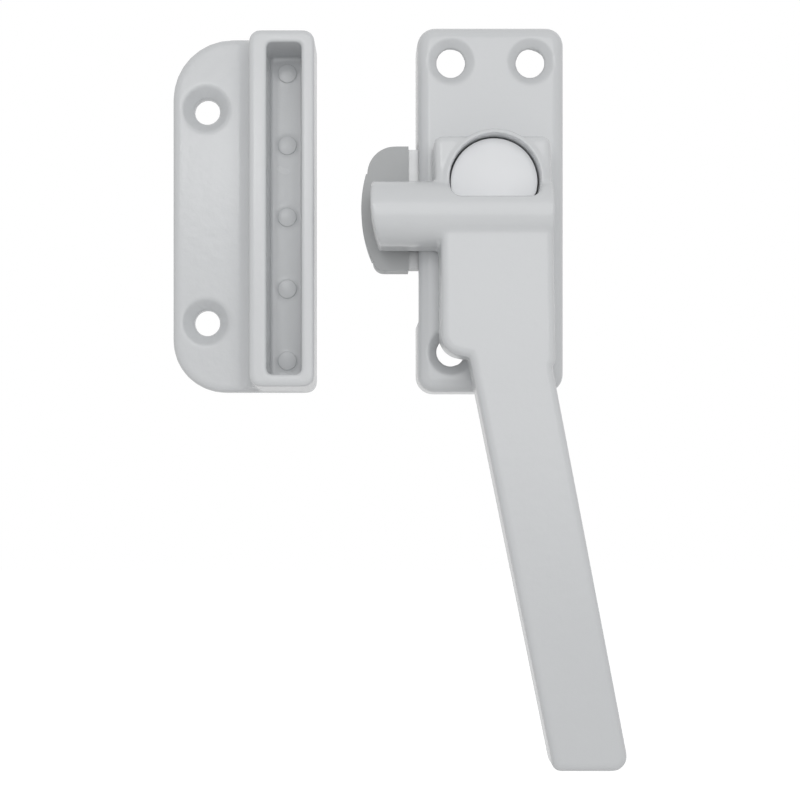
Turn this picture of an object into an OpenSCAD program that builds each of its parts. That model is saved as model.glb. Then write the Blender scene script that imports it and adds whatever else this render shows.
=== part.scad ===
// Surface-mounted push-button cam latch with a box keeper.
// Every piece is drawn in plan: x to the right, y up, z out from the mounting surface.
// wall_frame() then stands the plan up, so the front faces -Y and +Z is up.
// The turning axis of the lever is at the origin, and the mounting surface is at Y = 0.

/* [Base] */
// Width of the base casting at the mounting surface
base_w = 26.7; // [26:0.1:32]
// Height of the base casting at the mounting surface
base_h = 66.3; // [62:0.1:84]
// How far the middle of the base lies below the turning axis
base_low = 0.4; // [0:0.1:1]
// Depth of the base from the mounting surface to its face
base_d = 9; // [8.6:0.1:11]
// Thickness of the side walls
base_wall = 1.5; // [1.2:0.1:1.6]
// Thickness of the face
base_face = 1.8; // [1.5:0.1:1.9]
// Corner radius seen from the front
base_corner = 3.2; // [2.8:0.1:4]
// Rounding of the face's edge
base_edge = 2.4; // [1:0.1:2.6]
// Lean of the outer walls from the mounting surface to the face
base_draft = 0.1; // [0:0.1:0.6]

/* [Screw holes] */
// Distance between the left and right holes of the base
screw_pitch_x = 14.4; // [13.6:0.1:15]
// Distance between the upper and lower holes of the base
screw_pitch_y = 52.3; // [51:0.1:53]
// Diameter of the base's screw holes
screw_hole_d = 5; // [4:0.1:5.2]
// Diameter of the countersinks in the base
screw_sink_d = 8.4; // [7:0.1:9]
// Depth of the countersinks in the base
screw_sink = 1.5; // [1:0.1:1.6]

/* [Lever] */
// Distance from the turning axis to the lever's lower end
lever_reach = 99.6; // [80:0.1:125]
// Lean of the grip from upright, in degrees
grip_lean = 11.15; // [6:0.05:13]
// Width of the grip just below the neck
neck_w = 14; // [12:0.1:16]
// Width of the grip at its end
tip_w = 13.3; // [10:0.1:16]
// Thickness of the lever
lever_t = 7.5; // [6:0.1:9]
// Distance of the lever's flat front from the mounting surface
lever_front = 19.5; // [18.8:0.1:20]
// Wall of the lever where it is cored from behind
lever_wall = 2; // [1.6:0.1:2.6]
// Rounding along the lever's front edges
lever_edge = 1.3; // [0.6:0.1:1.4]

/* [Head] */
// Diameter of the round spur and of the barrel that carries it
barrel_d = 11.4; // [10:0.1:11.6]
// Distance from the turning axis to the end of the spur
spur_reach = 21.7; // [18:0.1:24]
// How far the spur lies below the turning axis
barrel_low = 2.5; // [2:0.1:3]
// Gap between the base's face and the back of the lever's head
head_gap = 0.4; // [0.3:0.05:0.8]
// Distance of the head's shoulder from the mounting surface
shoulder_front = 17.6; // [16.8:0.1:17.6]
// How far the rim round the button stands above the shoulder
rim_rise = 0.4; // [0.2:0.1:1.2]
// Radius of the button's round side
button_r = 7.6; // [6.8:0.05:7.6]
// Clearance round the button
button_gap = 0.35; // [0.3:0.05:0.7]
// How far the button's face lies below the rim
button_sink = 2.6; // [1.6:0.1:2.8]
// Travel of the button
button_travel = 2; // [1.9:0.1:2.1]

/* [Cam] */
// Distance from the turning axis to the end of the cam
cam_reach = 23.4; // [20:0.1:23.6]
// Height of the capped part of the cam
cap_h = 22.6; // [20:0.1:22.8]
// Thickness of the capped part of the cam
cap_t = 5; // [4.6:0.1:5.1]
// Wall of the nylon cap
cap_wall = 0.5; // [0.4:0.05:0.7]
// Distance from the turning axis to the open end of the cap
cap_start = 14.8; // [14:0.1:16]
// Radius of the journal that turns in the bush
journal_r = 4.2; // [3.8:0.1:4.4]
// Radial running clearance of the journal
journal_gap = 0.05; // [0.03:0.01:0.08]

/* [Keeper] */
// Overall width of the keeper
keeper_w = 26.4; // [25:0.1:32]
// Height of the keeper
keeper_h = 65; // [56:0.1:80]
// Gap between the keeper and the end of the cam, as laid out side by side
keeper_gap = 8.3; // [4:0.1:30]
// Thickness of the keeper's screw flange
flange_t = 4; // [3:0.1:5]
// Depth of the keeper's box from the mounting surface
box_d = 12; // [11:0.1:14]
// Width of the keeper's box at its rim
box_w = 11.7; // [10.6:0.1:12]
// Width of the slot that takes the cam
slot_w = 6.2; // [5.6:0.1:6.4]
// Wall beside the slot, on the side away from the flange
slot_side = 2.35; // [2:0.05:2.6]
// Wall at each end of the slot
slot_end = 2.2; // [1.8:0.1:3]
// Thickness of the slot's floor
slot_floor = 2; // [1.5:0.1:3]
// Distance between the keeper's two screw holes
keeper_pitch = 39.2; // [34:0.1:44]
// Diameter of the keeper's screw holes
keeper_hole_d = 4.7; // [4:0.1:5]

/* [Hidden] */
$fn = 64;
hull_fn = 32;
eps = 0.01;
ball_clear = 0.1;

enamel = [0.82, 0.82, 0.84];
nylon_grey = [0.55, 0.56, 0.57];
steel = [0.7, 0.7, 0.72];

// Base
inner_w = base_w - 2 * base_wall;
inner_top = base_h / 2 - base_low - base_wall;
inner_bottom = -base_h / 2 - base_low + base_wall;
wall_z = base_d - base_face;

// Rear cover and what holds it
cover_t = 1.2;
cover_lap = 0.65;
cover_slip = 0.1;
cover_top = 21.5;
cover_bottom = -21.5;
cover_tail_w = 7;
tail_screw_y = -base_low - base_h / 2 + 5.4;
cover_screw_at = [[-8.6, 18.4], [8.6, 18.4], [0, tail_screw_y]];
cover_screw_r = 1.15;
cover_head_r = 2.2;
cover_boss_r = 2.6;

// Cam and spindle
cam_z0 = (cover_t + wall_z - cap_t) / 2;
core_z0 = cam_z0 + cap_wall;
core_t = cap_t - 2 * cap_wall;
core_front = core_z0 + core_t;
core_slip = 0.05;
core_half = cap_h / 2 - cap_wall + core_slip;
cam_corner = [5, 2];
core_corner = [for (r = cam_corner) r - cap_wall];
square_side = 5.8;
bush_wall = 1.15;
bush_r = journal_r + journal_gap + bush_wall;
bush_flange_r = bush_r + 0.6;
bush_back = wall_z - 0.6;

// Plunger that locks the lever to the base
plunger_y = 7.8;
collar_r = 1.4;
collar_gap = 0.1;
stem_r = 0.9;
collar_z = wall_z + 0.05;
collar_h = base_face - 0.1;
turn = 90;

// Detent
ball_r = 1.55;
ball_y = core_half + ball_clear + ball_r;
detent_bore_r = ball_r + 0.05;
detent_top = 23;
detent_plug_h = 3.2;
detent_z = core_z0 + core_t / 2;
detent_block_w = 6.4;

// Head of the lever
head_back = base_d + head_gap;
barrel_r = barrel_d / 2;
barrel_z = head_back + barrel_r;
rim_front = shoulder_front + rim_rise;
button_y = 3.2;
button_face = rim_front - button_sink;
button_t = 1.3;
pocket_floor = button_face - button_t - button_travel - 0.1;
pocket_low_y = -0.1;
pocket_r = button_r + button_gap;
rim_r = pocket_r + 0.9;
head_left = -10.7;
head_right = 9.8;
head_top = 10.9;
spring_seat = head_back + 0.8;
spring_bore_r = 2.6;
journal_top = pocket_floor - 0.4;

// Lever
lever_back = lever_front - lever_t;
body_t = lever_front - head_back;
body_left = -9.5;
body_right = 10.4;
body_low = -27.6;
body_corner = 4;
neck_x = 4;
neck_y = -35.3;
corner_r = 1.5;
outer_corner_r = 2.6;

// Keeper
keeper_right = -cam_reach - keeper_gap;
keeper_left = keeper_right - keeper_w;
keeper_y = -0.8;
box_left = keeper_right - box_w;
slot_x = keeper_right - slot_side - slot_w / 2;
box_lean = 0.7;
box_corner = 2;
slot_len = keeper_h - 2 * box_lean - 2 * slot_end;
keeper_hole_x = keeper_left + 6.1;
keeper_sink_d = 8.6;
box_fillet = 2.4;
mark_r = 1.75;
mark_h = 0.15;
mark_pitch = 13.3;

// Stands the plan up against the mounting surface
module wall_frame() rotate([90, 0, 0]) children();

// Flat plate outline with round corners, made of exact arcs
module rounded_plan(w, h, r) {
    square([w - 2 * r, h], center = true);
    square([w, h - 2 * r], center = true);
    for (sx = [-1, 1], sy = [-1, 1])
        translate([sx * (w / 2 - r), sy * (h / 2 - r)]) circle(r);
}

// Post with a rounded upper edge
module pillow(r, h, edge, fn = hull_fn) {
    rotate_extrude($fn = fn) {
        square([r, h - edge]);
        square([max(r - edge, eps), h]);
        translate([max(r - edge, 0), h - edge])
            intersection() {
                circle(min(edge, r), $fn = fn);
                square(edge);
            }
    }
}

// Screw hole with a countersink, cut down from a face at z = top
module sunk_hole(r, sink_r, sink, top, depth) {
    translate([0, 0, top - depth]) cylinder(r = r, h = depth + 1);
    slope = (sink_r - r) / sink;
    translate([0, 0, top - sink]) cylinder(r1 = r, r2 = sink_r + slope, h = sink + 1);
}

// Round-wire coil along z
module coil(mean_r, wire_r, length, turns, sides = 8, steps = 18) {
    n = turns * steps;
    rise = (length - 2 * wire_r) / n;
    points = [for (i = [0:n]) let (a = 360 * i / steps, z = wire_r + rise * i)
              for (k = [0:sides - 1]) let (b = 360 * k / sides, q = mean_r + wire_r * cos(b))
              [q * cos(a), q * sin(a), z + wire_r * sin(b)]];
    walls = [for (i = [0:n - 1], k = [0:sides - 1]) let (m = (k + 1) % sides)
             [i * sides + k, (i + 1) * sides + k, (i + 1) * sides + m, i * sides + m]];
    first = [[for (k = [0:sides - 1]) k]];
    last = [[for (k = [sides - 1:-1:0]) n * sides + k]];
    polyhedron(points, concat(walls, first, last), convexity = 10);
}

module screw_places()
    for (sx = [-1, 1], sy = [-1, 1])
        translate([sx * screw_pitch_x / 2, sy * screw_pitch_y / 2, 0]) children();

// Outer body of the base: leaning walls and a softly rounded face
module base_outside() {
    translate([0, -base_low, 0])
        hull()
            for (sx = [-1, 1], sy = [-1, 1]) {
                x = sx * (base_w / 2 - base_corner);
                y = sy * (base_h / 2 - base_corner);
                translate([x, y, 0]) cylinder(r = base_corner, h = 0.6, $fn = hull_fn);
                translate([x - sx * base_draft, y - sy * base_draft, 0])
                    pillow(base_corner, base_d, base_edge);
            }
}

// Notch through which the cam comes out, open to the back as it is cast
module cam_notch() {
    low = sqrt(pow(cam_reach + 0.3, 2) - pow(inner_w / 2, 2));
    translate([-base_w, -low - 0.3, -1])
        cube([base_w - inner_w / 2 + eps, low + 0.7 + cap_h / 2, wall_z + 0.9]);
}

// Curved slot in the face that the lock plunger passes through as the lever turns
module plunger_slot() {
    slot_r = collar_r + collar_gap;
    translate([0, 0, wall_z - 1]) {
        rotate([0, 0, turn]) rotate_extrude(angle = turn)
            translate([plunger_y - slot_r, 0]) square([2 * slot_r, base_face + 2]);
        for (a = [0, turn])
            rotate([0, 0, a]) translate([0, plunger_y, 0]) cylinder(r = slot_r, h = base_face + 2);
    }
}

module base_plate() {
    tower_r = screw_hole_d / 2 + 3;
    color(enamel) wall_frame() difference() {
        union() {
            difference() {
                base_outside();
                translate([0, (inner_top + inner_bottom) / 2, -1])
                    linear_extrude(wall_z + 1) rounded_plan(inner_w, inner_top - inner_bottom, 2);
            }
            // short screw towers, cut back where the cam sweeps
            intersection() {
                base_outside();
                difference() {
                    screw_places() cylinder(r = tower_r, h = wall_z + eps);
                    screw_places() translate([0, 0, -1]) cylinder(r = tower_r - 0.9, h = wall_z + 1);
                    translate([0, 0, -1]) cylinder(r = cam_reach + 0.6, h = wall_z + 1);
                }
            }
            for (p = cover_screw_at)
                translate([p[0], p[1], cover_t]) cylinder(r = cover_boss_r, h = wall_z - cover_t + eps);
            translate([-detent_block_w / 2, core_half + 0.4, cover_t])
                cube([detent_block_w, detent_top - core_half - 0.4, wall_z - cover_t + eps]);
        }
        // rebate for the rear cover
        translate([0, 0, -1]) linear_extrude(1 + cover_t) cover_plan(cover_slip);
        cam_notch();
        translate([0, 0, wall_z - 1]) cylinder(r = bush_r, h = base_face + 2);
        plunger_slot();
        screw_places() sunk_hole(screw_hole_d / 2, screw_sink_d / 2, screw_sink, base_d, base_face + 1);
        for (p = cover_screw_at)
            translate([p[0], p[1], 0]) cylinder(r = cover_screw_r + 0.05, h = wall_z - 0.6);
        translate([0, core_half, detent_z]) rotate([-90, 0, 0])
            cylinder(r = detent_bore_r, h = detent_top - core_half + eps);
    }
}

// Outline of the rear cover with the tail that its lowest screw holds, grown by extra
module cover_plan(extra) {
    w = inner_w + 2 * (cover_lap + extra);
    tail_w = cover_tail_w + 2 * extra;
    translate([-w / 2, cover_bottom - extra]) square([w, cover_top - cover_bottom + 2 * extra]);
    translate([-tail_w / 2, tail_screw_y]) square([tail_w, cover_bottom - tail_screw_y]);
    translate([0, tail_screw_y]) circle(tail_w / 2);
}

module rear_cover() {
    color(steel) wall_frame() difference() {
        linear_extrude(cover_t) cover_plan(0);
        for (p = cover_screw_at) translate([p[0], p[1], -eps]) {
            cylinder(r1 = cover_head_r + 0.05, r2 = cover_screw_r + 0.05, h = 1);
            cylinder(r = cover_screw_r + 0.1, h = cover_t + 1);
        }
    }
}

module cover_screws() {
    color(steel) wall_frame() for (p = cover_screw_at) translate([p[0], p[1], 0]) difference() {
        union() {
            cylinder(r1 = cover_head_r, r2 = cover_screw_r, h = 1);
            cylinder(r = cover_screw_r, h = 5.2);
        }
        for (a = [0, 90]) rotate([0, 0, a]) translate([-1.1, -0.22, -1]) cube([2.2, 0.44, 1.6]);
    }
}

module spindle_bush() {
    color(nylon_grey) wall_frame() difference() {
        union() {
            translate([0, 0, bush_back]) cylinder(r = bush_r, h = head_back - bush_back);
            translate([0, 0, base_d]) cylinder(r = bush_flange_r, h = head_gap);
        }
        translate([0, 0, bush_back - 1]) cylinder(r = journal_r + journal_gap, h = base_d);
    }
}

module detent_ball() {
    color(steel) wall_frame() translate([0, ball_y, detent_z]) sphere(ball_r);
}

module detent_spring() {
    start = ball_y + ball_r - 0.3;
    color(steel) wall_frame() translate([0, start, detent_z]) rotate([-90, 0, 0])
        coil(1.1, 0.2, detent_top - detent_plug_h - start, 5);
}

module detent_plug() {
    color(steel) wall_frame() translate([0, detent_top - detent_plug_h, detent_z]) rotate([-90, 0, 0])
        difference() {
            cylinder(r = detent_bore_r - 0.02, h = detent_plug_h);
            translate([-2, -0.25, detent_plug_h - 1]) cube([4, 0.5, 2]);
        }
}

// Middle of the grip at height y, and its width there
function grip_x(y) = neck_x + (neck_y - y) * tan(grip_lean);
function grip_w(y) = neck_w + (tip_w - neck_w) * (neck_y - y) / (neck_y + lever_reach);
function grip_side(side, y, r) = grip_x(y) + side * (grip_w(y) / 2 - r / cos(grip_lean));

// One post at each corner of the grip, each moved in by inset
module grip_posts(inset) {
    for (side = [-1, 1]) {
        r = side < 0 ? corner_r : outer_corner_r;
        y = -lever_reach + r;
        post = max(r - inset, 0.6);
        for (level = [y + (inset > 0 ? max(0, inset - r + post) : 0), body_low + 5])
            translate([grip_side(side, level, inset + post), level, 0]) children(side < 0 ? 0 : 1);
    }
}

module grip_outside()
    translate([0, 0, lever_back]) hull() grip_posts(0) {
        pillow(corner_r, lever_t, lever_edge);
        pillow(outer_corner_r, lever_t, lever_edge);
    }

// The body below the head reaches back as far as the head does
module body_outside()
    translate([0, 0, head_back]) hull() {
        for (x = [body_left + corner_r, body_right - 0.4 - corner_r])
            translate([x, -barrel_low - 2, 0]) pillow(corner_r, body_t, lever_edge);
        translate([body_left + body_corner, body_low + body_corner, 0])
            pillow(body_corner, body_t, lever_edge);
        translate([body_right - corner_r, body_low - 0.6, 0]) pillow(corner_r, body_t, lever_edge);
    }

// Space cored out of the back of the grip and the body below the head
module lever_core() {
    grip_depth = lever_t - lever_wall + 1;
    body_depth = body_t - lever_wall + 1;
    translate([0, 0, lever_back - 1]) hull() grip_posts(lever_wall) {
        cylinder(r = 0.6, h = grip_depth, $fn = hull_fn);
        cylinder(r = 0.6, h = grip_depth, $fn = hull_fn);
    }
    translate([0, 0, head_back - 1]) hull() {
        for (x = [body_left + lever_wall + 1, body_right - lever_wall - 1.4])
            translate([x, -barrel_low - barrel_r - 3, 0])
                cylinder(r = 1, h = body_depth, $fn = hull_fn);
        translate([body_left + body_corner, body_low + body_corner, 0])
            cylinder(r = body_corner - lever_wall, h = body_depth, $fn = hull_fn);
        translate([body_right - lever_wall - 1.4, body_low + 1, 0])
            cylinder(r = 1, h = body_depth, $fn = hull_fn);
    }
}

// Shoulder block of the head, with the round rim of the button's pocket
module head_outside() {
    translate([0, 0, head_back]) hull() {
        for (x = [head_left + corner_r, head_right - corner_r])
            translate([x, head_top - corner_r, 0]) pillow(corner_r, shoulder_front - head_back, lever_edge);
        for (x = [body_left - 0.7 + corner_r, body_right - 0.4 - corner_r])
            translate([x, -barrel_low - 1, 0]) pillow(corner_r, shoulder_front - head_back, lever_edge);
    }
    translate([0, button_y, head_back]) pillow(rim_r, rim_front - head_back, 0.5, $fn);
}

// Barrel across the head, round in front with flat flanks behind; its free end is the
// spur, rounded about the turning axis
module barrel() {
    length = spur_reach + 2 + body_right - 0.4;
    intersection() {
        translate([-spur_reach - 2, -barrel_low, 0]) {
            translate([0, 0, barrel_z]) rotate([0, 90, 0]) cylinder(r = barrel_r, h = length);
            translate([0, -barrel_r, head_back]) cube([length, barrel_d, barrel_z - head_back]);
        }
        translate([0, 0, head_back]) cylinder(r = spur_reach, h = barrel_d + 1, $fn = 96);
    }
}

// Outline of the button: round above, straight below, grown by extra all round
module button_plan(extra) {
    low = pocket_low_y + button_gap - extra;
    r = button_r + extra;
    foot = 1.7;
    foot_x = sqrt(pow(r - foot, 2) - pow(button_y - low - foot, 2));
    translate([0, button_y]) intersection() {
        circle(r);
        translate([-r, low + foot - button_y]) square([2 * r, 3 * r]);
    }
    translate([-foot_x, low]) square([2 * foot_x, foot + eps]);
    for (side = [-1, 1]) translate([side * foot_x, low + foot]) circle(foot);
}

module lever_handle() {
    color(enamel) wall_frame() difference() {
        union() {
            difference() {
                union() {
                    grip_outside();
                    body_outside();
                }
                lever_core();
            }
            head_outside();
            barrel();
        }
        translate([0, 0, pocket_floor]) linear_extrude(barrel_d) button_plan(button_gap);
        translate([0, 0, head_back - 1]) cylinder(r = journal_r, h = journal_top - head_back + 1);
        translate([0, plunger_y, head_back - 1]) cylinder(r = stem_r + 0.1, h = 4);
        translate([0, plunger_y, spring_seat]) cylinder(r = spring_bore_r, h = 6);
    }
}

module spindle() {
    round_z = bush_back - 0.2;
    color(steel) wall_frame() difference() {
        union() {
            translate([0, 0, round_z]) cylinder(r = journal_r, h = journal_top - round_z);
            translate([-square_side / 2, -square_side / 2, core_z0 + 0.1])
                cube([square_side, square_side, round_z - core_z0]);
        }
        translate([0, 0, core_z0 - 1]) cylinder(r = 1.55, h = 7);
    }
}

// Plan of the cam: its end is round about the turning axis, with one corner for each side
module cam_plan(reach, half, corners) {
    intersection() {
        circle(reach, $fn = 96);
        translate([-reach, corners[1] - half]) square([reach, 2 * half - corners[0] - corners[1]]);
    }
    for (i = [0, 1]) {
        side = 1 - 2 * i;
        r = corners[i];
        x = -sqrt(pow(reach - r, 2) - pow(half - r, 2));
        translate([x, side * (half - r)]) circle(r);
        translate([x, side > 0 ? half - r - eps : -half]) square([-x, r + eps]);
    }
}

module cam_tongue() {
    color(steel) wall_frame() difference() {
        translate([0, 0, core_z0]) linear_extrude(core_t) {
            cam_plan(cam_reach - cap_wall - core_slip, core_half - core_slip, core_corner);
            circle(core_half);
        }
        translate([0, 0, detent_z]) cube([square_side + 0.1, square_side + 0.1, 2 * core_t], center = true);
        translate([0, plunger_y, core_z0 - 1]) cylinder(r = collar_r + 0.3, h = core_t + 2);
        for (a = [0, -turn]) rotate([0, 0, a]) translate([0, core_half + ball_r - 0.4, core_z0 - 1])
            cylinder(r = ball_r + 0.05, h = core_t + 2);
    }
}

module tongue_cap() {
    color(nylon_grey) wall_frame() difference() {
        translate([0, 0, cam_z0]) linear_extrude(cap_t) intersection() {
            cam_plan(cam_reach, cap_h / 2, cam_corner);
            translate([-2 * cam_reach, -cam_reach]) square([2 * cam_reach - cap_start, 2 * cam_reach]);
        }
        translate([0, 0, core_z0 - 0.03]) linear_extrude(core_t + 0.06) intersection() {
            cam_plan(cam_reach - cap_wall, core_half, core_corner);
            translate([-2 * cam_reach, -cam_reach]) square([3 * cam_reach, 2 * cam_reach]);
        }
    }
}

// Cone-shaped spring washer that keeps the lever from rattling
module disc_spring() {
    low = core_front + 0.02;
    high = bush_back - 0.02;
    t = 0.25;
    color(steel) wall_frame() rotate_extrude()
        polygon([[4.5, low], [6.2, high - t], [6.2, high], [4.5, low + t]]);
}

// Low-headed screw that holds the cam on the spindle, just clear of the rear cover
module spindle_screw() {
    head_z = cover_t + 0.1;
    head_r = 4.8;
    color(steel) wall_frame() difference() {
        union() {
            translate([0, 0, head_z]) cylinder(r = head_r, h = core_z0 - head_z);
            translate([0, 0, core_z0 - eps]) cylinder(r = 1.5, h = 5.5);
        }
        for (a = [45, 135]) rotate([0, 0, a]) translate([-2, -0.4, head_z - 1]) cube([4, 0.8, 1.5]);
    }
}

module push_button() {
    color("white") wall_frame() difference() {
        union() {
            translate([0, 0, button_face - button_t]) linear_extrude(button_t) button_plan(0);
            translate([0, plunger_y, button_face - button_t - 1.5]) cylinder(r = 1.4, h = 1.6);
        }
        translate([0, plunger_y, button_face - button_t - 2]) cylinder(r = stem_r, h = 2.8);
    }
}

module lock_plunger() {
    color(steel) wall_frame() {
        translate([0, plunger_y, collar_z]) cylinder(r = collar_r, h = collar_h);
        translate([0, plunger_y, collar_z]) cylinder(r = stem_r, h = button_face - button_t + 0.8 - collar_z);
    }
}

module button_spring() {
    color(steel) wall_frame() translate([0, plunger_y, spring_seat])
        coil(2, 0.2, button_face - button_t - spring_seat, 3);
}

module keeper() {
    flange_r = [11, 9.5];
    box_half = keeper_h / 2 - box_lean;
    color(enamel) wall_frame() translate([0, keeper_y, 0]) difference() {
        union() {
            hull() {
                for (i = [0, 1]) {
                    side = 1 - 2 * i;
                    translate([keeper_left + flange_r[i], side * (keeper_h / 2 - flange_r[i]), 0])
                        pillow(flange_r[i], flange_t, 1);
                    translate([keeper_right - 2.5, side * (keeper_h / 2 - 2), 0]) pillow(2, flange_t, 1);
                }
            }
            hull() for (side = [-1, 1]) {
                for (x = [box_left + box_corner, keeper_right - box_corner]) {
                    translate([x, side * (box_half - box_corner), 0]) pillow(box_corner, box_d, 0.6);
                    translate([x, side * (keeper_h / 2 - box_corner), 0])
                        cylinder(r = box_corner, h = 0.6, $fn = hull_fn);
                }
            }
            // fillet between the flange and the box
            translate([box_left - box_fillet, -box_half, flange_t - eps]) difference() {
                cube([box_fillet + 0.5, 2 * box_half, box_fillet]);
                translate([0, -1, box_fillet + eps]) rotate([-90, 0, 0])
                    cylinder(r = box_fillet, h = 2 * box_half + 2);
            }
        }
        difference() {
            translate([slot_x, 0, slot_floor]) linear_extrude(box_d) rounded_plan(slot_w, slot_len, 0.9);
            for (i = [-2:2])
                translate([slot_x, i * mark_pitch, slot_floor - 1]) cylinder(r = mark_r, h = 1 + mark_h);
        }
        for (side = [-1, 1]) translate([keeper_hole_x, side * keeper_pitch / 2, 0])
            sunk_hole(keeper_hole_d / 2, keeper_sink_d / 2, 2.1, flange_t, flange_t + 1);
    }
}

base_plate();
rear_cover();
cover_screws();
spindle_bush();
detent_ball();
detent_spring();
detent_plug();
lever_handle();
spindle();
cam_tongue();
tongue_cap();
disc_spring();
spindle_screw();
push_button();
lock_plunger();
button_spring();
keeper();
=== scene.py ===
import math

import bmesh
import bpy
from mathutils import Matrix, Vector


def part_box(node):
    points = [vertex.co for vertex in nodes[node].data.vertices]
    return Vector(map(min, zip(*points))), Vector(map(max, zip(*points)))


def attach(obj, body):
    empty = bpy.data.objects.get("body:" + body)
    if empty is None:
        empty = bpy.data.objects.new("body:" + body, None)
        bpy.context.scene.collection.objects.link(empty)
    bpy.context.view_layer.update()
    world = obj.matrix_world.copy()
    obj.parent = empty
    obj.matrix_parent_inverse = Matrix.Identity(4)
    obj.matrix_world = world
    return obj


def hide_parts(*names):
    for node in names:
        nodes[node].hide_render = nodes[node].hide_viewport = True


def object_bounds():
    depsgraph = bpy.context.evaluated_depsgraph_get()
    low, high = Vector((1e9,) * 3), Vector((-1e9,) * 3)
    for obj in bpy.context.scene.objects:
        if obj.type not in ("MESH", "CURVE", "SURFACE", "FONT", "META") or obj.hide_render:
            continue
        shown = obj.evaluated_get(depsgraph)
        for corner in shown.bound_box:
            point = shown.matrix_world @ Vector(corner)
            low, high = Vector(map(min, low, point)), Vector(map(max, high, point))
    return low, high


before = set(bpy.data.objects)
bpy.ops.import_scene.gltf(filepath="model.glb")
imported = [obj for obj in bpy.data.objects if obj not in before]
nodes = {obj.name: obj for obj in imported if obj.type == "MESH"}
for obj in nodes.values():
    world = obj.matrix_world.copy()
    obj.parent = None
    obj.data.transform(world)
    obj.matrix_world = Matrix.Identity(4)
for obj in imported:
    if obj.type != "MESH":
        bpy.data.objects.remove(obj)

cad_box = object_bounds()
scene = bpy.context.scene
scene.view_settings.view_transform = "Standard"


# Viewpoint: level with the lever's grip and a little to the left of it, close enough
# that the depths of the base, the lever and the keeper's box show in perspective.
EYE = Vector((-0.0209, -0.255, -0.0439))
SENSOR_W = 0.036
VIEW_W = 0.1494

camera_data = bpy.data.cameras.new("camera")
camera_data.lens = 1000 * SENSOR_W * -EYE.y / VIEW_W
camera_data.sensor_width = 1000 * SENSOR_W
camera_data.shift_x = 1 / 32
camera_data.shift_y = 1 / 16
camera = bpy.data.objects.new("camera", camera_data)
camera.location = EYE
camera.rotation_euler = (math.radians(90), 0, 0)
scene.collection.objects.link(camera)
scene.camera = camera


# Studio: an even pale room, a broad soft lamp in front and a little above, a small key
# lamp above and to the left, a low strip and a pale panel below that light the undersides,
# and a white floor that keeps a faint shadow.
ROOM_LIGHT = 0.55
FLOOR_Z = cad_box[0].z - 0.02


class Wire:
    """An output socket of a node. Arithmetic on it adds Math nodes to its tree."""

    def __init__(self, socket):
        self.socket = socket

    @staticmethod
    def node(tree, kind, settings, inputs, output=0):
        made = tree.nodes.new("ShaderNode" + kind)
        for name, value in settings.items():
            if name == "stops":
                for i, (place, shade) in enumerate(value):
                    stop = made.color_ramp.elements[i] if i < 2 else made.color_ramp.elements.new(place)
                    stop.position = place
                    stop.color = (shade, shade, shade, 1)
            else:
                setattr(made, name, value)
        for name, value in inputs.items():
            if isinstance(value, Wire):
                tree.links.new(made.inputs[name], value.socket)
            else:
                made.inputs[name].default_value = value
        return Wire(made.outputs[output])

    def math(self, operation, first, second):
        return Wire.node(self.socket.id_data, "Math", {"operation": operation}, {0: first, 1: second})

    def __add__(self, other):
        return self.math("ADD", self, other)

    def __radd__(self, other):
        return self.math("ADD", other, self)

    def __sub__(self, other):
        return self.math("SUBTRACT", self, other)

    def __rsub__(self, other):
        return self.math("SUBTRACT", other, self)

    def __mul__(self, other):
        return self.math("MULTIPLY", self, other)

    def __rmul__(self, other):
        return self.math("MULTIPLY", other, self)

    def at_most(self, other):
        return self.math("MINIMUM", self, other)

    def at_least(self, other):
        return self.math("MAXIMUM", self, other)


def seen_directly(tree):
    """1 for what the viewer, a mirror or a glass sees, 0 for what lights the object."""
    path = [Wire.node(tree, "LightPath", {}, {}, ray) for ray in
            ("Is Camera Ray", "Is Glossy Ray", "Is Transmission Ray")]
    return (path[0] + path[1] + path[2]).at_most(1.0)


room = bpy.data.worlds.new("room")
room.use_nodes = True
scene.world = room
background = room.node_tree.nodes["Background"]
background.inputs["Color"].default_value = (1, 1, 1, 1)
strength = ROOM_LIGHT + (1 - ROOM_LIGHT) * seen_directly(room.node_tree)
room.node_tree.links.new(background.inputs["Strength"], strength.socket)


def soft_lamp(name, place, aim, width, height, power):
    data = bpy.data.lights.new(name, "AREA")
    data.shape = "RECTANGLE"
    data.size = width
    data.size_y = height
    data.energy = power
    lamp = bpy.data.objects.new(name, data)
    lamp.location = place
    lamp.rotation_euler = (Vector(aim) - Vector(place)).to_track_quat("-Z", "Y").to_euler()
    scene.collection.objects.link(lamp)


soft_lamp("front", (0.02, -0.30, 0.05), (0.0, 0, -0.01), 0.24, 0.24, 0.27)
soft_lamp("key", (-0.079, -0.255, 0.061), (0.0, 0, 0.0), 0.026, 0.026, 0.028)
soft_lamp("low_strip", (-0.02, -0.19, -0.20), (-0.02, 0, -0.02), 0.24, 0.012, 0.07)
soft_lamp("table", (-0.02, -0.04, -0.27), (-0.02, -0.01, 0), 0.30, 0.16, 0.28)

floor_mesh = bmesh.new()
bmesh.ops.create_grid(floor_mesh, x_segments=1, y_segments=1, size=0.6)
bmesh.ops.translate(floor_mesh, verts=floor_mesh.verts, vec=(0, 0, FLOOR_Z))
floor_data = bpy.data.meshes.new("floor")
floor_mesh.to_mesh(floor_data)
floor_mesh.free()
floor = bpy.data.objects.new("floor", floor_data)
scene.collection.objects.link(floor)
floor_finish = bpy.data.materials.new("floor_white")
floor_finish.use_nodes = True
tree = floor_finish.node_tree
floor_shader = tree.nodes["Principled BSDF"]
floor_shader.inputs["Base Color"].default_value = (0.8, 0.8, 0.8, 1)
floor_shader.inputs["Roughness"].default_value = 0.9
floor_shader.inputs["Specular IOR Level"].default_value = 0
floor_shader.inputs["Emission Color"].default_value = (1, 1, 1, 1)
tree.links.new(floor_shader.inputs["Emission Strength"], (0.6 * seen_directly(tree)).socket)
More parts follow.
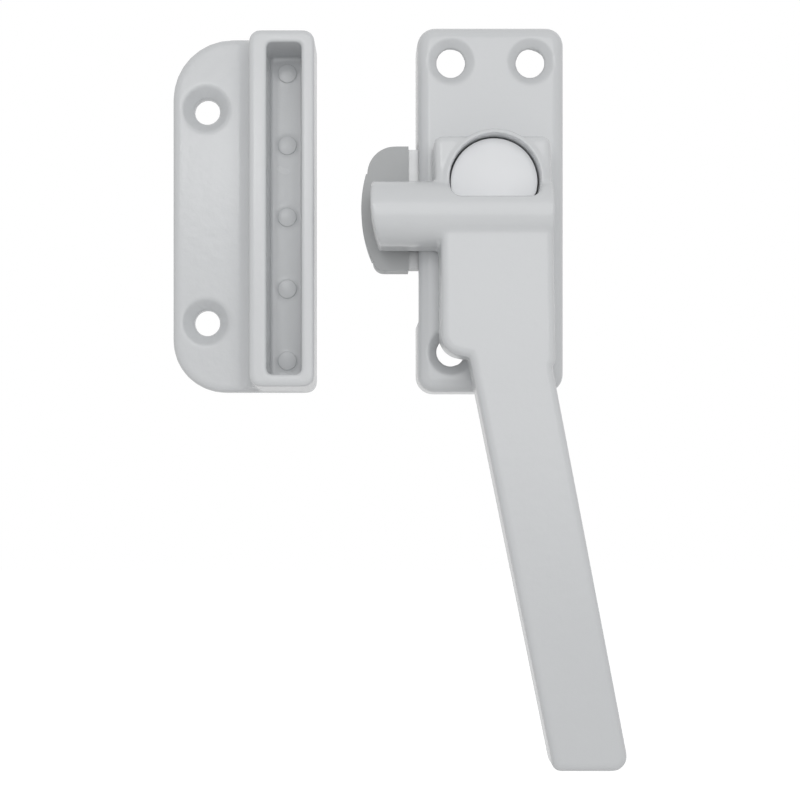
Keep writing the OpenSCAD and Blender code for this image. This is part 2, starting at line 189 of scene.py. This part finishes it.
floor_data.materials.append(floor_finish)


# Base casting: a hollow zinc die casting, open at the back, with a powder-coated skin
# that rounds every edge. Screws through its four countersunk holes hold it to the post.
ENAMEL = (0.655, 0.668, 0.680)
GRAIN = 0.00028
MM = 0.001


def enamel(name, tint=1.0, roughness=0.26):
    """Powder coat: a slightly cool pale grey with a gentle orange peel."""
    made = bpy.data.materials.new(name)
    made.use_nodes = True
    tree = made.node_tree
    shader = tree.nodes["Principled BSDF"]
    place = Wire.node(tree, "TexCoord", {}, {}, "Object")
    peel = Wire.node(tree, "TexNoise", {}, {"Vector": place, "Scale": 520, "Detail": 2, "Roughness": 0.45})
    fine = Wire.node(tree, "TexNoise", {}, {"Vector": place, "Scale": 2600, "Detail": 1})
    cloud = Wire.node(tree, "TexNoise", {}, {"Vector": place, "Scale": 70, "Detail": 3})
    height = peel + 0.12 * fine
    bump = Wire.node(tree, "Bump", {}, {"Height": height, "Strength": 0.5, "Distance": 0.00009})
    pale = [tint * c for c in ENAMEL]
    colour = Wire.node(tree, "Mix", {"data_type": "RGBA"},
                       {0: cloud, 6: (*[0.975 * c for c in pale], 1), 7: (*[1.02 * c for c in pale], 1)}, 2)
    tree.links.new(shader.inputs["Base Color"], colour.socket)
    tree.links.new(shader.inputs["Roughness"], (roughness - 0.03 + 0.06 * cloud).socket)
    tree.links.new(shader.inputs["Normal"], bump.socket)
    shader.inputs["Specular IOR Level"].default_value = 0.5
    return made


def coated_casting(node, name, grain, passes, material):
    """The CAD node's shape as it comes out of the die and the coating: every edge soft."""
    shape = bmesh.new()
    shape.from_mesh(nodes[node].data)
    bmesh.ops.remove_doubles(shape, verts=shape.verts, dist=1e-6)
    rough = bpy.data.meshes.new(name + "_rough")
    shape.to_mesh(rough)
    shape.free()
    piece = bpy.data.objects.new(name, rough)
    scene.collection.objects.link(piece)
    remesh = piece.modifiers.new("remesh", "REMESH")
    remesh.mode = "VOXEL"
    remesh.voxel_size = grain
    smooth = piece.modifiers.new("smooth", "SMOOTH")
    smooth.factor = 0.5
    smooth.iterations = passes
    bpy.context.view_layer.update()
    graph = bpy.context.evaluated_depsgraph_get()
    soft = bpy.data.meshes.new_from_object(piece.evaluated_get(graph))
    soft.name = name
    piece.modifiers.clear()
    piece.data = soft
    bpy.data.meshes.remove(rough)
    soft.shade_smooth()
    soft.materials.clear()
    soft.materials.append(material)
    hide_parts(node)
    print(name, len(soft.polygons) * 2)
    return piece


coat = enamel("enamel_coat")
base = coated_casting("base_plate", "base_casting", GRAIN, 8, coat)
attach(base, "base")


# Rear cover and its three screws: a zinc-plated steel sheet that closes the back of
# the base, stamped flat, and held by countersunk screws.
ZINC = (0.56, 0.57, 0.59)


def plated_steel(name, colour, roughness):
    """Bright zinc plate over steel, with a faint rolled grain and cloudy patches."""
    made = bpy.data.materials.new(name)
    made.use_nodes = True
    tree = made.node_tree
    shader = tree.nodes["Principled BSDF"]
    place = Wire.node(tree, "TexCoord", {}, {}, "Object")
    along = Wire.node(tree, "Mapping", {}, {"Vector": place, "Scale": (4000, 4000, 160)})
    rolled = Wire.node(tree, "TexNoise", {}, {"Vector": along, "Scale": 1, "Detail": 2})
    cloud = Wire.node(tree, "TexNoise", {}, {"Vector": place, "Scale": 260, "Detail": 4, "Roughness": 0.6})
    bump = Wire.node(tree, "Bump", {}, {"Height": rolled, "Strength": 0.2, "Distance": 0.00002})
    shade = Wire.node(tree, "Mix", {"data_type": "RGBA"},
                      {0: cloud, 6: (*[0.88 * c for c in colour], 1), 7: (*colour, 1)}, 2)
    tree.links.new(shader.inputs["Base Color"], shade.socket)
    tree.links.new(shader.inputs["Roughness"], (roughness + 0.16 * cloud - 0.04 * rolled).socket)
    tree.links.new(shader.inputs["Normal"], bump.socket)
    shader.inputs["Metallic"].default_value = 1
    return made


def finish_node(node, material):
    """Gives a CAD node that shows as it is its material."""
    data = nodes[node].data
    data.materials.clear()
    data.materials.append(material)


zinc = plated_steel("zinc_plate", ZINC, 0.3)
finish_node("rear_cover", zinc)
finish_node("cover_screws", zinc)


# Spindle bush: a flanged plastic sleeve pressed into the face of the base, which the
# lever's journal turns in. It is moulded in natural nylon.
def moulded(name, colour, roughness, grain, depth):
    """Moulded plastic: an even colour with a fine sparked texture from the tool."""
    made = bpy.data.materials.new(name)
    made.use_nodes = True
    tree = made.node_tree
    shader = tree.nodes["Principled BSDF"]
    place = Wire.node(tree, "TexCoord", {}, {}, "Object")
    spark = Wire.node(tree, "TexNoise", {}, {"Vector": place, "Scale": 1 / grain, "Detail": 3})
    flow = Wire.node(tree, "TexNoise", {}, {"Vector": place, "Scale": 120, "Detail": 2})
    bump = Wire.node(tree, "Bump", {}, {"Height": spark, "Strength": 0.4, "Distance": depth})
    shade = Wire.node(tree, "Mix", {"data_type": "RGBA"},
                      {0: flow, 6: (*[0.95 * c for c in colour], 1), 7: (*[1.04 * c for c in colour], 1)}, 2)
    tree.links.new(shader.inputs["Base Color"], shade.socket)
    tree.links.new(shader.inputs["Roughness"], (roughness + 0.08 * spark).socket)
    tree.links.new(shader.inputs["Normal"], bump.socket)
    return made


natural_nylon = moulded("natural_nylon", (0.72, 0.70, 0.64), 0.42, 0.0004, 0.00002)
finish_node("spindle_bush", natural_nylon)


# Detent: a hardened ball, its spring and a slotted plug, in a bore above the cam. They
# click into the cam's two notches, at the closed and the open position.
spring_steel = plated_steel("spring_steel", (0.48, 0.48, 0.49), 0.22)
for node in ("detent_ball", "detent_spring", "disc_spring", "button_spring", "lock_plunger"):
    finish_node(node, spring_steel)
finish_node("detent_plug", zinc)


# Spindle, cam and its screw: the square of the spindle drives a plain steel cam, and a
# low-headed screw from behind holds it on.
DULL_STEEL = (0.43, 0.435, 0.44)
finish_node("spindle", zinc)
finish_node("spindle_screw", zinc)
finish_node("cam_tongue", plated_steel("dull_steel", DULL_STEEL, 0.42))


# Cap of the cam: a grey nylon shoe moulded over the end of the cam, which slides into
# the keeper without marking it. Its edges are eased.
NYLON_GREY = (0.43, 0.44, 0.445)
CAP_EASE = 0.45 * MM


def eased_copy(node, name, picks, ease, steps):
    """A copy of a CAD node whose sharp edges that picks() chooses are rounded."""
    shape = bmesh.new()
    shape.from_mesh(nodes[node].data)
    bmesh.ops.remove_doubles(shape, verts=shape.verts, dist=1e-6)
    bmesh.ops.dissolve_limit(shape, angle_limit=math.radians(1), verts=shape.verts, edges=shape.edges)
    sharp = [e for e in shape.edges if e.is_manifold and e.calc_face_angle() > math.radians(40)
             and all(picks(v.co) for v in e.verts)]
    bmesh.ops.bevel(shape, geom=sharp, offset=ease, offset_type="OFFSET", segments=steps,
                    profile=0.5, affect="EDGES", material=-1, clamp_overlap=True)
    data = bpy.data.meshes.new(name)
    shape.to_mesh(data)
    shape.free()
    piece = bpy.data.objects.new(name, data)
    scene.collection.objects.link(piece)
    return piece


def shade_by_angle(data, degrees):
    """Smooth shading, with an edge kept crisp where the faces turn by more than degrees."""
    data.shade_smooth()
    data.set_sharp_from_angle(angle=math.radians(degrees))


cap_low, cap_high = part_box("tongue_cap")
cap = eased_copy("tongue_cap", "cam_cap", lambda p: p.x < cap_high.x - 0.3 * MM
                 and (abs(p.y - cap_low.y) < 0.05 * MM or abs(p.y - cap_high.y) < 0.05 * MM), CAP_EASE, 4)
shade_by_angle(cap.data, 35)
cap.data.materials.append(moulded("grey_nylon", NYLON_GREY, 0.4, 0.0005, 0.00002))
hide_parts("tongue_cap")
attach(cap, "lever")


# Lever: one zinc die casting of grip, body and head with its round spur, cored from
# behind, and powder-coated like the base. Its journal turns in the bush.
lever = coated_casting("lever_handle", "lever_casting", 0.0003, 8, coat)
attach(lever, "lever")


# Push button: a moulded white half-moon that stands in the round pocket of the head. A
# post on its back is pressed over the lock plunger, and a spring holds it out.
BUTTON_WHITE = (0.80, 0.81, 0.825)
BUTTON_EASE = 0.25 * MM
button_low, button_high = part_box("push_button")
button = eased_copy("push_button", "button_moon", lambda p: abs(p.y - button_low.y) < 0.05 * MM,
                    BUTTON_EASE, 5)
shade_by_angle(button.data, 35)
button.data.materials.append(moulded("button_white", BUTTON_WHITE, 0.28, 0.0009, 0.00001))
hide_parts("push_button")
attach(button, "button")


# Keeper: a die-cast box with a screw flange, coated like the base. The cam slides into
# its slot, whose floor carries five round ejector marks.
keeper = coated_casting("keeper", "keeper_casting", GRAIN, 8, coat)
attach(keeper, "keeper")


# Ejector marks of the keeper: five discs that the die's pins leave on the slot's floor,
# each standing a little proud, with its front edge eased.
keeper_low, keeper_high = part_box("keeper")
MARK_R = 1.75 * MM
MARK_PITCH = 13.3 * MM
MARK_FLOOR = -2.0 * MM
MARK_PROUD = 0.28 * MM
MARK_X = keeper_high.x - 5.45 * MM
marks = bmesh.new()
for step in range(-2, 3):
    disc = bmesh.ops.create_cone(marks, cap_ends=True, segments=48, radius1=MARK_R, radius2=MARK_R,
                                 depth=2 * MARK_PROUD,
                                 matrix=Matrix.Translation((MARK_X, MARK_FLOOR,
                                                            (keeper_low.z + keeper_high.z) / 2
                                                            + step * MARK_PITCH))
                                 @ Matrix.Rotation(math.radians(90), 4, "X"))
    front = [e for v in disc["verts"] for e in v.link_edges
             if all(abs(w.co.y - (MARK_FLOOR - MARK_PROUD)) < 0.01 * MM for w in e.verts)]
    bmesh.ops.bevel(marks, geom=list(set(front)), offset=0.14 * MM, offset_type="OFFSET", segments=3,
                    profile=0.5, affect="EDGES", material=-1, clamp_overlap=True)
mark_data = bpy.data.meshes.new("ejector_marks")
marks.to_mesh(mark_data)
marks.free()
mark_piece = bpy.data.objects.new("ejector_marks", mark_data)
scene.collection.objects.link(mark_piece)
shade_by_angle(mark_data, 35)
mark_data.materials.append(coat)
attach(mark_piece, "keeper")
